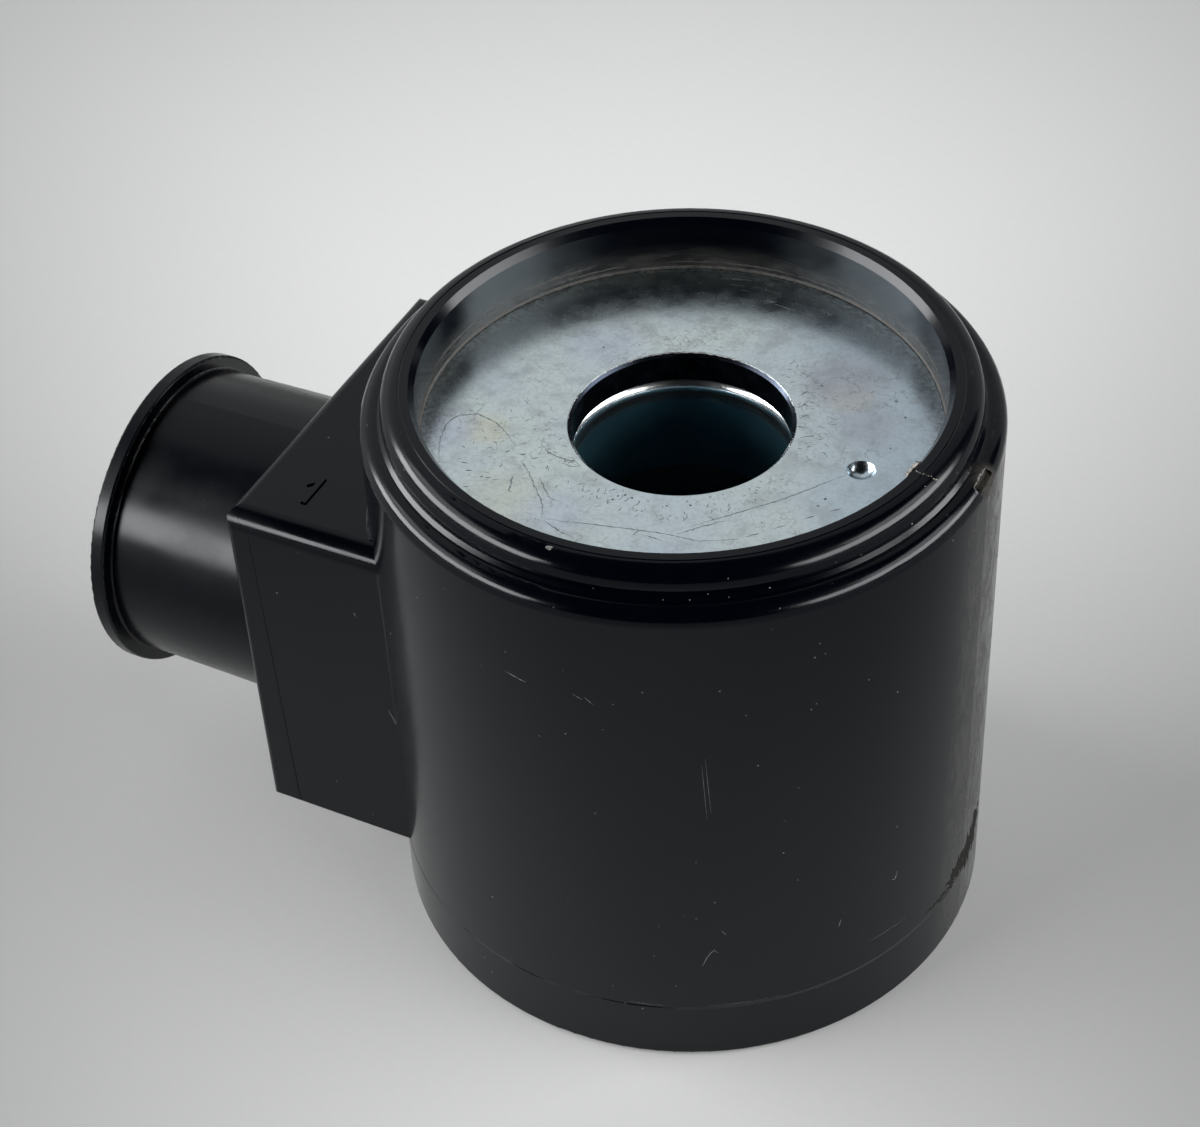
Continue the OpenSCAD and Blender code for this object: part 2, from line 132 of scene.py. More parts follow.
# Scratches round the body: degrees to the right of the side that faces the camera, and height in mm
BODY_SCRATCHES = (
    ((-32.4, 37.9), (-28.4, 37.6)),
    ((-19.7, 37.8), (-18.0, 37.45)),
    ((-17.6, 37.7), (-16.2, 37.15)),
    ((1.2, 10.5), (2.3, 11.6), (3.4, 12.3), (4.1, 11.9)),
    ((4.8, 14.4), (5.6, 13.9)),
    ((27.7, 12.3), (27.2, 11.6)),
    ((39.3, 13.7), (39.9, 13.5), (40.6, 14.3)),
)
BODY_HAIRLINES_AND_GLINTS = (
    ((2.5, 32.6), (3.3, 27.1)),
    ((1.9, 31.9), (2.6, 26.3)),
    # The last three run level, along and near the mould line: painted glints, drawn as pale strokes
    ((34.6, 8.1), (43.6, 8.0)),
    ((-12.9, 5.9), (-5.9, 5.85)),
    ((2.1, 5.85), (15.8, 5.85)),
)
BODY_SPECKS = (
    (-54.6, 32.8), (-49.9, 17.3), (-44.9, 42.8), (-21.5, 33.7), (-21.2, 39.8), (-16.9, 26.3),
    (-14.7, 34.9), (-12.7, 37.5), (0.3, 15.9), (0.5, 22.0), (11.5, 31.3), (16.1, 21.8),
    (18.8, 18.5), (18.8, 28.2), (20.9, 35.6), (21.8, 36.0), (22.3, 41.6), (23.3, 40.5),
)
# Painted shade of gouges low on the body: dark strips, each with its width in mm
GOUGE_SHADES = (
    (((76.0, 8.6), (73.0, 8.1), (70.0, 7.6), (66.0, 7.3), (61.8, 7.3)), 2.2),
    (((76.0, 7.2), (73.5, 6.8), (70.0, 6.4), (66.5, 6.2), (62.0, 6.6)), 2.4),
    (((64.0, 7.2), (61.4, 6.9), (59.6, 6.4), (58.6, 5.7)), 1.9),
    (((59.4, 5.9), (54.7, 6.1), (49.5, 6.2)), 0.5),
)

# Specks on the rim and the shoulder: degrees as above, radius and height in mm, and size in mm
RIM_SPECKS = (
    (-25.9, 20.8, 48.0, 0.6175), (-16.4, 21.7, 46.4, 0.13), (-4.0, 21.9, 46.1, 0.143),
    (0.6, 21.9, 46.1, 0.13), (3.8, 21.7, 46.4, 0.13), (7.4, 21.9, 46.1, 0.143),
    (7.4, 21.5, 47.4, 0.117), (14.7, 21.8, 46.2, 0.1625), (15.4, 23.1, 45.5, 0.13),
    (32.6, 21.7, 46.5, 0.143), (44.8, 21.7, 46.6, 0.247), (51.1, 21.0, 48.0, 0.195),
    (-85.7, 20.3, 48.1, 0.1625), (-83.3, 20.3, 48.1, 0.1625), (-84.2, 22.7, 45.9, 0.1625),
    (-64.0, 21.5, 47.5, 0.1625),
)
# A crack across the rim (degrees, height, radius) and lumps of flash beside it (degrees, size)
RIM_CRACK = ((53.4, 48.15, 19.5), (53.5, 48.15, 20.5), (54.4, 47.8, 21.3))
FLASH_LUMPS = ((53.2, 0.5), (54.6, 0.7), (56.0, 0.7), (57.2, 0.4))
FLASH_HEIGHT = 47.75
FLASH_RADIUS = 19.1

# The pale torn edge of the gate mark, in mm
GATE_EDGE = (
    (23.05, -1.6, 45.6), (22.75, -1.15, 45.85), (22.7, -0.1, 45.9),
    (22.75, 1.2, 45.85), (23.05, 1.3, 45.6),
)

# Marks on the tower, in mm
TOWER_SCRATCHES = (
    ((-30.3, -14.9, 35.9), (-29.7, -15.1, 35.6)),
    ((-26.3, -11.9, 36.4), (-25.8, -11.9, 36.4)),
    ((-20.4, -15.3, 30.1), (-20.2, -15.3, 29.6)),
    ((-18.4, -15.3, 20.5), (-17.8, -15.4, 19.0)),
)

# Marks on the plate, x and y in mm: the print of a nut, worn folds and scratches
NUT_PRINT = (
    ((-14.5, -10.4), (-15.2, -8.9), (-15.7, -7.2), (-15.4, -5.9),
     (-14.1, -5.1), (-12.6, -5.4), (-11.1, -6.3), (-9.8, -7.3)),
    ((-8.7, -8.6), (-7.5, -9.7), (-6.2, -11.1), (-5.0, -12.4), (-4.5, -13.7)),
    ((-6.6, -9.8), (-5.1, -11.4), (-4.4, -11.6)),
    ((-8.5, -10.3), (-8.2, -11.2), (-8.0, -11.9), (-7.7, -12.0)),
    ((4.9, -11.5), (6.1, -10.1), (7.4, -8.8)),
)
PLATE_SCRATCHES = (
    ((-8.3, -6.3), (-7.4, -7.0), (-6.6, -7.2), (-5.8, -7.3), (-5.2, -7.1), (-4.5, -7.5)),
    ((-5.9, -7.7), (-5.2, -7.8), (-4.6, -7.6)),
    ((-4.2, -13.6), (-3.0, -13.4), (-1.1, -12.9), (1.0, -12.4), (3.8, -11.8), (6.7, -11.5), (9.1, -10.2)),
    ((-4.1, -13.9), (-2.8, -14.4), (-1.4, -14.6)),
    ((2.2, -12.8), (2.3, -12.1)),
    ((3.0, -12.4), (4.3, -12.5)),
    ((5.4, -10.4), (7.5, -8.1), (10.0, -5.3), (11.5, -3.3), (13.2, -0.9)),
)
PLATE_DASHES = (
    ((7.8, 2.7), (8.5, 2.9)), ((8.6, 1.7), (9.4, 2.2)), ((7.2, 4.8), (7.5, 5.7)), ((7.7, 3.7), (8.1, 4.3)),
    ((6.7, 6.2), (7.0, 6.9)), ((9.9, 3.9), (10.4, 4.1)), ((9.4, -9.8), (10.1, -9.1)),
    ((10.9, -8.2), (11.5, -7.5)), ((12.4, -6.4), (12.9, -5.9)), ((13.7, -5.0), (14.3, -4.4)),
    ((-11.7, -8.4), (-11.3, -8.1)), ((-11.6, -7.6), (-11.2, -7.4)), ((-10.2, -8.2), (-9.9, -7.9)),
    ((-9.1, -8.1), (-8.7, -7.8)), ((-8.2, -8.2), (-7.7, -7.8)), ((-12.6, -10.5), (-12.1, -10.4)),
    ((-11.9, -11.2), (-11.4, -11.0)), ((-10.2, -11.4), (-9.8, -11.2)), ((-11.2, -12.9), (-10.8, -12.6)),
)
PLATE_PITS = (
    (7.7, 7.9), (-6.8, 7.1), (-9.2, 5.8), (12.9, -3.9), (15.0, 3.1), (9.8, -8.0), (14.7, 6.8),
    (-1.6, -9.5), (-1.2, -8.9), (-0.6, -9.4), (-0.2, -9.1), (0.4, -9.2), (-0.8, -9.9),
    (3.0, -9.0), (4.5, -8.3),
)

# Where a nut has bitten the plate: sectors with their counts, the ring's radii, and each bite's ranges
NUT_SECTORS = ((-50, 45, 90), (60, 130, 60), (-95, -55, 24))
NUT_RING = (8.6, 10.9)
BITE_TURN = (-2, 2)
BITE_REACH = (0.15, 0.5)
BITE_WIDTH = (0.12, 0.26)
# A patch of crazed plating: its middle and reach in mm, and the number, run and width of its cracks
CRAZED_MIDDLE = (-10.3, -9.4)
CRAZED_REACH = 2.6
CRAZED_COUNT = 46
CRAZED_RUN = (-0.5, 0.5)
CRAZED_WIDTH = (0.12, 0.24)

# The plate's tints and painted shade: an axis away from the connector, along which the plate is painted
# darker and bluer, and each colour with its spots: x, y, size, strength
PAINTED_SHADE_AXIS = (0.9, 0.43, 0)
TINT_AND_SHADE_SPOTS = (
    ((0.86, 0.85, 0.63, 1), ((-12.7, -6.5, 5.0, 0.5), (10.1, 7.5, 5.0, 0.5), (-8.0, -13.0, 9.0, 0.35))),
    ((0.66, 0.74, 0.90, 1), ((-15.5, -7.5, 6.0, 0.6), (-4.0, -13.0, 7.0, 0.5), (-9.0, 6.0, 8.0, 0.5),
                             (6.0, -14.5, 7.0, 0.4))),
    # Dark lilac-grey spots towards the far side: painted shade, with a lilac tint
    ((0.53, 0.56, 0.64, 1), ((12.5, 4.8, 7.0, 0.5), (9.0, 9.0, 9.0, 0.8))),
)

# The side of the body that is scuffed most
WORN_SIDE = (0.982, 0.186, 0)
# The way the barrel points
BARREL_WAY = (-1, 0, 0)

# The painted pool of light on the floor, in mm: its place behind and left of the part, its shape and its
# size
LIGHT_POOL_BACK = 50.0
LIGHT_POOL_SQUEEZE = 0.5
LIGHT_POOL_WIDENS = 0.003
LIGHT_POOL_LEFT = 6.0
LIGHT_POOL_FLAT = 15.0
LIGHT_POOL_REACH = 100.0

# How a mark lies on its surface, in mm
MARK_SUNK = 0.004
MARK_STEP = 0.2
MARK_PATCH = 0.3
# A stroke's share of its width at both ends, and how far its line and its width waver
STROKE_ENDS = 0.3
LINE_WAVERS = 0.5
WIDTH_WAVERS = 0.4
# A speck's corners, how far they waver, and how many times deeper its root lies than its edge
SPECK_CORNERS = 8
SPECK_OUTLINE = (0.6, 1.25)
SPECK_ROOT = 4

# Width and rise of each kind of stroke, in mm
BODY_SCRATCH = (0.09, 0.010)
HAIRLINE_AND_GLINT = (0.03, 0.006)
TOWER_SCRATCH = (0.08, 0.010)
TORN_EDGE = (0.16, 0.03)
CRACK = (0.3, 0.004)
CORNER_DIRT_AND_SHEEN = (0.36, 0.13)
NUT_LINE = (0.22, 0.004)
PLATE_SCRATCH = (0.14, 0.004)
PLATE_DASH = (0.17, 0.004)
HOLE_EDGE_HIGHLIGHT = (0.12, 0.004)
# Rise of specks, pits and lumps, and of the strokes whose width varies, in mm
SPECK_RISE = 0.010
RIM_SPECK_RISE = 0.004
PIT_RISE = 0.005
LUMP_RISE = 0.35
FAR_SCRATCH_RISE = 0.008
GOUGE_SHADE_RISE = 0.02
DIRT_RISE = 0.02
BITE_RISE = 0.003
RUB_RISE = 0.003
SEAT_RISE = 0.001

# Sizes of the specks on the body and of the pits in the plate, in mm
SPECK_SIZE = (0.09, 0.19)
PIT_SIZE = (0.22, 0.42)

# Marks strewn on the far side of the body: counts, degrees and mm
FAR_SPECKS = 36
FAR_SPECK_TURN = (95, 198)
FAR_SPECK_HEIGHT = (2, 44)
FAR_SPECK_SIZE = (0.09, 0.2)
FAR_SCRATCHES = 12
FAR_SCRATCH_TURN = (95, 195)
FAR_SCRATCH_HEIGHT = (4, 42)
FAR_SCRATCH_RUN = (-4, 4)
FAR_SCRATCH_CLIMB = (-2, 2)
FAR_SCRATCH_WIDTH = (0.04, 0.09)

# Dirt in the recess: a line round its corner that also paints light over the dark gap at the plate's edge,
# and streaks of several steps at some heights above the plate
CORNER_HEIGHT = PLATE_TOP + 0.08
CORNER_TURNS = range(0, 361, 3)
CORNER_RAGGED = 0.15
DIRT_STREAKS = 40
DIRT_HEIGHTS = (0.12, 0.12, 0.6, 1.1)
DIRT_STEP = (3, 8)
DIRT_STEPS = 5
DIRT_WIDTH = (0.06, 0.2)

# Pale marks on the upper plate: a painted highlight along the back of the hole's edge, and worn streaks
# near the plate's edge
HOLE_HIGHLIGHT_RADIUS = BORE_RADIUS + 0.22
HOLE_HIGHLIGHT_TURNS = range(95, 266, 5)
RUB_STREAKS = 18
RUB_TURN = (104, 166)
RUB_RADIUS = (15.6, 18.4)
RUB_RUN = (2, 7)
RUB_WIDTH = (0.05, 0.11)

# Curved scratches on the lower plate
SEAT_SCRATCHES = 26
SEAT_RADIUS = (9.5, 17.0)
SEAT_HEIGHT = 0.0
SEAT_STEP = 5
SEAT_STEPS = 4
SEAT_WIDTH = (0.05, 0.14)

# Soft panels: degrees to the right of the camera's side, degrees up, brightness, degrees wide and tall
PANELS = (
    (-86.0, 20.5, 12.8, 66.0, 19.0),
    (72.0, 20.5, 10.5, 64.0, 19.0),
    (-101.0, 38.0, 3.0, 40.0, 13.0),
    (84.0, 38.0, 4.2, 36.0, 13.0),
)
PANEL_DISTANCE = 1.2

# The room's brightness from the middle to the right, and its colour
ROOM_FALL = {"From Min": 0.0, "From Max": 0.25, "To Min": 0.58, "To Max": 0.36}
ROOM_COLOUR = (0.98, 0.99, 1.0, 1)


def clear_stage():
    """Deletes what Blender's own start file brings, so that only the frame is left."""
    kept = set(frame["bodies"].values()) | set(frame["nodes"].values())
    for thing in list(bpy.data.objects):
        if thing not in kept:
            bpy.data.objects.remove(thing, do_unlink=True)


def add_object(name, data):
    """A new object in the scene."""
    thing = bpy.data.objects.new(name, data)
    bpy.context.scene.collection.objects.link(thing)
    return thing


def look_along(direction):
    """The turn that points a camera or a lamp along a direction."""
    return direction.to_track_quat("-Z", "Y")


def make_camera():
    """The photograph's viewpoint, turned so that the target falls on its pixel."""
    lens = bpy.data.cameras.new("camera")
    lens.sensor_fit = "HORIZONTAL"
    lens.sensor_width = SENSOR_MM
    lens.lens = FOCAL_PIXELS * SENSOR_MM / PICTURE_WIDTH
    lens.clip_start = CLIP_START
    back = cos(CAMERA_ELEVATION) * -AWAY + sin(CAMERA_ELEVATION) * UP
    across = (TARGET_PIXEL[0] - PICTURE_WIDTH / 2) / FOCAL_PIXELS
    down = (TARGET_PIXEL[1] - PICTURE_HEIGHT / 2) / FOCAL_PIXELS
    to_target = Vector((across, -down, -1)).normalized()
    swing = to_target.rotation_difference(Vector((0, 0, -1)))
    camera = add_object("camera", lens)
    camera.rotation_mode = "QUATERNION"
    camera.rotation_quaternion = look_along(-back) @ Quaternion((0, 0, 1), CAMERA_ROLL) @ swing
    camera.location = TARGET + back * CAMERA_DISTANCE
    bpy.context.scene.camera = camera


class Shader:
    """A material's nodes, with short calls for those that the finishes share. Places are in mm."""

    def __init__(self, name):
        self.material = bpy.data.materials.new(name)
        self.material.use_nodes = True
        self.tree = self.material.node_tree
        self.surface = self.tree.nodes["Principled BSDF"]
        place = self.tree.nodes.new("ShaderNodeTexCoord")
        self.mm = self.vector("SCALE", place.outputs["Object"], scale=1 / MM)

    def put(self, socket, value):
        """Links a socket to another, or sets its plain value."""
        if isinstance(value, bpy.types.NodeSocket):
            self.tree.links.new(value, socket)
        else:
            socket.default_value = value

    def set(self, **values):
        """Sets inputs of the surface, with _ for a space."""
        for name, value in values.items():
            self.put(self.surface.inputs[name.replace("_", " ")], value)

    def vector(self, operation, first, second=None, scale=None):
        """Vector arithmetic."""
        node = self.tree.nodes.new("ShaderNodeVectorMath")
        node.operation = operation
        self.put(node.inputs[0], first)
        if second is not None:
            self.put(node.inputs[1], second)
        if scale is not None:
            self.put(node.inputs["Scale"], scale)
        return node.outputs["Value" if operation in ("LENGTH", "DOT_PRODUCT") else "Vector"]

    def math(self, operation, first, second=0.0):
        """Arithmetic on numbers."""
        node = self.tree.nodes.new("ShaderNodeMath")
        node.operation = operation
        self.put(node.inputs[0], first)
        self.put(node.inputs[1], second)
        return node.outputs[0]

    def ramp(self, value, low, high, start=0.0, end=1.0):
        """Goes smoothly from start to end while value goes from low to high."""
        node = self.tree.nodes.new("ShaderNodeMapRange")
        node.interpolation_type = "SMOOTHSTEP"
        ends = {"Value": value, "From Min": low, "From Max": high, "To Min": start, "To Max": end}
        for name, number in ends.items():
            self.put(node.inputs[name], number)
        return node.outputs["Result"]

    def noise(self, size, detail=2.0, rough=0.5, stretch=(1, 1, 1), seed=(0, 0, 0)):
        """Noise from 0 to 1 with blotches of about size mm, stretched along the axes."""
        node = self.tree.nodes.new("ShaderNodeTexNoise")
        shrink = tuple(1 / (size * s) for s in stretch)
        self.put(node.inputs["Vector"], self.vector("ADD", self.vector("MULTIPLY", self.mm, shrink), seed))
        self.put(node.inputs["Scale"], 1.0)
        self.put(node.inputs["Detail"], detail)
        self.put(node.inputs["Roughness"], rough)
        return node.outputs["Fac"]

    def cells(self, size, seed=(0, 0, 0)):
        """Distance from the nearest of many scattered points, in units of size mm."""
        node = self.tree.nodes.new("ShaderNodeTexVoronoi")
        shrink = (1 / size,) * 3
        self.put(node.inputs["Vector"], self.vector("ADD", self.vector("MULTIPLY", self.mm, shrink), seed))
        self.put(node.inputs["Scale"], 1.0)
        return node.outputs["Distance"]

    def blend(self, factor, first, second):
        """A colour between two."""
        node = self.tree.nodes.new("ShaderNodeMix")
        node.data_type = "RGBA"
        self.put(node.inputs["Factor"], factor)
        first_colour, second_colour = (socket for socket in node.inputs if socket.type == "RGBA")
        self.put(first_colour, first)
        self.put(second_colour, second)
        return next(socket for socket in node.outputs if socket.type == "RGBA")

    def bump(self, height, depth, under=None):
        """The normal of a surface that rises by depth mm where height goes from 0 to 1."""
        node = self.tree.nodes.new("ShaderNodeBump")
        self.put(node.inputs["Height"], height)
        self.put(node.inputs["Distance"], depth * MM)
        self.put(node.inputs["Strength"], 1.0)
        if under is not None:
            self.put(node.inputs["Normal"], under)
        return node.outputs["Normal"]

    def spot(self, centre, size):
        """1 in a soft round spot, 0 outside it."""
        distance = self.vector("LENGTH", self.vector("SUBTRACT", self.mm, centre))
        return self.ramp(distance, size * SPOT_RIM, size * SPOT_CORE)

    def radius(self):
        """Distance from the axis of the bore, in mm."""
        return self.vector("LENGTH", self.vector("MULTIPLY", self.mm, (1, 1, 0)))

    def along(self, direction):
        """How far a place lies along a direction, in mm."""
        return self.vector("DOT_PRODUCT", self.mm, tuple(direction))

    def every(self, *masks):
        """The product of several masks."""
        result = masks[0]
        for mask in masks[1:]:
            result = self.math("MULTIPLY", result, mask)
        return result

    def away_from(self, value, middle):
        """How far a value lies from a middle one, on either side."""
        return self.math("ABSOLUTE", self.math("SUBTRACT", value, middle))

    def one_grain(self, grain, dark, light, roughness, depth, contrast=None, **others):
        """A finish that follows one grain: colour, roughness and a bump of depth mm."""
        shade = self.ramp(grain, *contrast) if contrast else grain
        self.set(Base_Color=self.blend(shade, dark, light), **others)
        self.set(Roughness=self.ramp(grain, *NOISE_SPAN, *roughness), Normal=self.bump(grain, depth))
        return self.material


def housing_plastic():
    """Semi-gloss black moulding: smudges, dust, scuffs, a torn gate mark, dirt and painted sheen low in the
    recess, painted light in the mould-line groove.
    """
    s = Shader("housing_plastic")
    peel = s.noise(0.9, detail=2.0)
    grain = s.noise(0.12, detail=2.0, seed=(7, 3, 1))
    smudge = s.noise(9.0, detail=5.0, rough=0.6, seed=(2, 9, 4))
    dust = s.every(s.ramp(s.cells(1.9, seed=(4, 4, 4)), 0.06, 0.03), s.ramp(smudge, 0.5, 0.62))
    torn = s.noise(0.4, detail=4.0, rough=0.6, seed=(1, 6, 2))
    gate = s.every(s.spot(GATE_MARK, GATE_SIZE), s.ramp(torn, 0.3, 0.5))
    streak = s.noise(0.7, detail=6.0, rough=0.7, stretch=(5, 5, 1), seed=(9, 2, 6))
    height = s.along(UP)
    # Partly dirt, partly painted sheen: a pale streaky film low on the recess wall that lightens it as a
    # reflection would
    low_wall = s.every(s.ramp(s.radius(), *RECESS_SIDE), s.ramp(height, *GRIME_AND_SHEEN_HEIGHT))
    grime_and_sheen = s.every(s.ramp(streak, 0.28, 0.76, 0.14, 0.6), low_wall)
    scuff = s.noise(0.7, detail=5.0, rough=0.65, stretch=(1, 1, 2.5), seed=(3, 8, 5))
    worn_side = s.ramp(s.along(WORN_SIDE), *WORN_DEPTH)
    scuffs = s.every(s.ramp(scuff, 0.42, 0.6), worn_side, s.ramp(height, *UNDER_SHOULDER))
    barrel = s.ramp(s.along(BARREL_WAY), *BARREL_START)
    # Painted light: the mould line's groove is painted paler and rougher so that its shade shows less
    off_line = s.away_from(height, MOULD_LINE)
    patchy = s.ramp(s.noise(5.0, detail=3.0, seed=(2, 7, 7)), 0.35, 0.6)
    groove_painted_light = s.every(s.ramp(off_line, *LINE_PAINTED_LIGHT), s.ramp(s.radius(), *LINE_SIDE), patchy)
    colour = s.blend(smudge, (0.0002, 0.0006, 0.0018, 1), (0.0006, 0.0011, 0.0028, 1))
    colour = s.blend(dust, colour, (0.10, 0.10, 0.10, 1))
    colour = s.blend(scuffs, colour, (0.020, 0.020, 0.019, 1))
    # Painted light in the mould-line groove
    colour = s.blend(groove_painted_light, colour, (0.018, 0.019, 0.021, 1))
    colour = s.blend(gate, colour, (0.034, 0.029, 0.023, 1))
    # Painted sheen and dirt low on the recess wall
    colour = s.blend(grime_and_sheen, colour, (0.075, 0.073, 0.067, 1))
    roughness = s.ramp(smudge, 0.35, 0.65, 0.12, 0.20)
    rougher = ((dust, 0.3), (groove_painted_light, 0.5), (gate, 0.35), (grime_and_sheen, 0.4), (scuffs, 0.14), (barrel, 0.09))
    for mask, more in rougher:
        roughness = s.math("ADD", roughness, s.math("MULTIPLY", mask, more))
    normal = s.bump(peel, 0.0016)
    normal = s.bump(grain, 0.0006, normal)
    normal = s.bump(gate, 0.06, normal)
    normal = s.bump(scuffs, 0.006, normal)
    s.set(Base_Color=colour, Roughness=roughness, Normal=normal)
    s.set(Specular_IOR_Level=0.25, Specular_Tint=(0.94, 0.97, 1.0, 1))
    return s.material


def plated_steel():
    """Zinc plate: greenish white near the connector, with painted shade that makes it bluer and darker far
    from it and dark on the wall of its hole, finely speckled.
    """
    s = Shader("plated_steel")
    blotch = s.noise(7.0, detail=3.0, seed=(1, 2, 3))
    cloud = s.noise(1.6, detail=4.0, rough=0.6, seed=(3, 3, 9))
    speck = s.noise(0.3, detail=5.0, rough=0.65, seed=(5, 8, 2))
    vein = s.away_from(s.noise(2.4, detail=5.0, rough=0.55, seed=(6, 2, 2)), 0.5)
    veins = s.every(s.ramp(vein, 0.012, 0.0), s.ramp(blotch, 0.42, 0.6))
    pits = s.ramp(s.cells(3.1), 0.06, 0.035)
    side = s.along(PAINTED_SHADE_AXIS)
    colour = s.blend(s.ramp(blotch, 0.35, 0.65), (0.73, 0.85, 0.90, 1), (0.80, 0.91, 0.91, 1))
    # Painted shade: darker and bluer towards the far side
    colour = s.blend(s.ramp(side, *FAR_PAINTED_SHADE, 0.0, 0.8), colour, (0.60, 0.73, 0.84, 1))
    for tint, spots in TINT_AND_SHADE_SPOTS:
        for x, y, size, share in spots:
            colour = s.blend(s.every(s.spot((x, y, PLATE_TOP), size), share), colour, tint)
    colour = s.blend(s.ramp(speck, 0.40, 0.68, 0.0, 0.22), colour, (0.34, 0.37, 0.39, 1))
    colour = s.blend(s.ramp(cloud, 0.48, 0.7, 0.0, 0.34), colour, (0.44, 0.48, 0.50, 1))
    dirt = s.ramp(s.noise(0.45, detail=5.0, rough=0.7), 0.42, 0.6, 0.0, 0.6)
    colour = s.blend(s.every(s.ramp(s.radius(), *PLATE_EDGE), dirt), colour, (0.20, 0.21, 0.20, 1))
    colour = s.blend(s.every(veins, 0.55), colour, (0.24, 0.25, 0.26, 1))
    colour = s.blend(s.every(pits, 0.6), colour, (0.10, 0.11, 0.12, 1))
    # Painted shade: the wall of the hole is painted dark and bluish
    colour = s.blend(s.ramp(s.radius(), *HOLE_WALL_SHADE), colour, (0.045, 0.055, 0.075, 1))
    roughness = s.ramp(cloud, *NOISE_SPAN, 0.20, 0.30)
    normal = s.bump(cloud, 0.002)
    normal = s.bump(speck, 0.0008, normal)
    s.set(Base_Color=colour, Metallic=1.0, Roughness=roughness, Normal=normal)
    return s.material


def bright_steel():
    """Drawn steel: a bright rounded lip, and a dark bore whose teal colour is a painted reflection."""
    s = Shader("bright_steel")
    cloud = s.noise(5.0, detail=2.0, seed=(4, 1, 1))
    rings = s.noise(0.3, detail=2.0, stretch=(60, 60, 1))
    half = (COLLAR_ENDS[1] - COLLAR_ENDS[0]) / 2
    middle = COLLAR_ENDS[0] + half
    bore = s.ramp(s.away_from(s.along(UP), middle), half - COLLAR_LIP, half - 2 * COLLAR_LIP)
    lip = s.blend(cloud, (0.88, 0.93, 0.94, 1), (0.93, 0.96, 0.96, 1))
    # Painted reflection: the bore's teal colour stands in for the bluish light it reflects
    teal_painted_reflection = s.blend(cloud, (0.19, 0.54, 0.72, 1), (0.29, 0.62, 0.72, 1))
    roughness = s.math("ADD", s.ramp(cloud, *NOISE_SPAN, 0.19, 0.23), s.math("MULTIPLY", bore, 0.12))
    s.set(Base_Color=s.blend(bore, lip, teal_painted_reflection), Metallic=1.0)
    s.set(Roughness=roughness, Normal=s.bump(rings, 0.0004))
    return s.material


def matt_plastic(name, dark, light):
    """A matt dark moulding with a fine grain."""
    s = Shader(name)
    grain = s.noise(0.2, detail=3.0)
    cloud = s.noise(4.0, detail=3.0, seed=(2, 2, 2))
    s.set(Base_Color=s.blend(cloud, dark, light), Roughness=s.ramp(cloud, *NOISE_SPAN, 0.42, 0.55))
    s.set(Normal=s.bump(grain, 0.004))
    return s.material


def bobbin_plastic():
    """The spool's black moulding."""
    return matt_plastic("bobbin_plastic", (0.010, 0.010, 0.012, 1), (0.018, 0.018, 0.020, 1))


def carrier_plastic():
    """The contact carrier's black moulding."""
    return matt_plastic("carrier_plastic", (0.010, 0.010, 0.011, 1), (0.018, 0.018, 0.019, 1))


def copper_wire():
    """Enamelled wire: rows of turns one above the other, with a little play in their colour."""
    s = Shader("copper_wire")
    turns = s.tree.nodes.new("ShaderNodeTexWave")
    turns.bands_direction = "Z"
    s.put(turns.inputs["Vector"], s.mm)
    s.put(turns.inputs["Scale"], 0.5)
    s.put(turns.inputs["Distortion"], 0.3)
    cloud = s.noise(1.5, detail=3.0)
    s.set(Base_Color=s.blend(cloud, (0.45, 0.13, 0.05, 1), (0.62, 0.25, 0.11, 1)), Metallic=1.0)
    s.set(Roughness=s.ramp(cloud, *NOISE_SPAN, 0.25, 0.38), Normal=s.bump(turns.outputs["Fac"], 0.15))
    return s.material


def tape():
    """Amber insulating film with faint creases."""
    s = Shader("tape")
    crease = s.noise(2.0, detail=4.0, stretch=(1, 1, 4))
    return s.one_grain(crease, (0.42, 0.24, 0.05, 1), (0.60, 0.38, 0.10, 1), (0.3, 0.45), 0.03)


def contact_brass():
    """Tinned brass, dull and a little streaked along the contact."""
    s = Shader("contact_brass")
    streak = s.noise(0.3, detail=3.0, stretch=(12, 1, 1))
    dark, light = (0.52, 0.42, 0.22, 1), (0.66, 0.58, 0.40, 1)
    return s.one_grain(streak, dark, light, (0.26, 0.4), 0.004, Metallic=1.0)


def solder():
    """Dull grey solder with a frosted skin."""
    s = Shader("solder")
    frost = s.noise(0.25, detail=4.0)
    return s.one_grain(frost, (0.42, 0.43, 0.44, 1), (0.62, 0.62, 0.62, 1), (0.3, 0.5), 0.01, Metallic=1.0)


def worn_plastic_and_glints():
    """Black plastic where it is scraped pale; the same pale finish draws painted glints along the mould
    line.
    """
    s = Shader("worn_plastic_and_glints")
    grain = s.noise(0.15, detail=3.0)
    return s.one_grain(grain, (0.05, 0.05, 0.05, 1), (0.24, 0.24, 0.235, 1), (0.5, 0.7), 0.01, NOISE_SPAN)


def gouge_shade_plastic():
    """Painted shade in a gouge: near-black plastic, dull and rough."""
    s = Shader("gouge_shade_plastic")
    grain = s.noise(0.3, detail=4.0, rough=0.6)
    s.set(Specular_IOR_Level=0.02)
    return s.one_grain(grain, (0.008, 0.008, 0.008, 1), (0.030, 0.029, 0.027, 1), (0.7, 0.9), 0.05)


def grime_and_sheen():
    """Brownish grey dirt that dried low on the wall of the recess, also used for a painted light line in
    its corner.
    """
    s = Shader("grime_and_sheen")
    grain = s.noise(0.4, detail=4.0, rough=0.6)
    dark, light = (0.022, 0.022, 0.021, 1), (0.066, 0.063, 0.057, 1)
    return s.one_grain(grain, dark, light, (0.55, 0.8), 0.01, (0.35, 0.65))


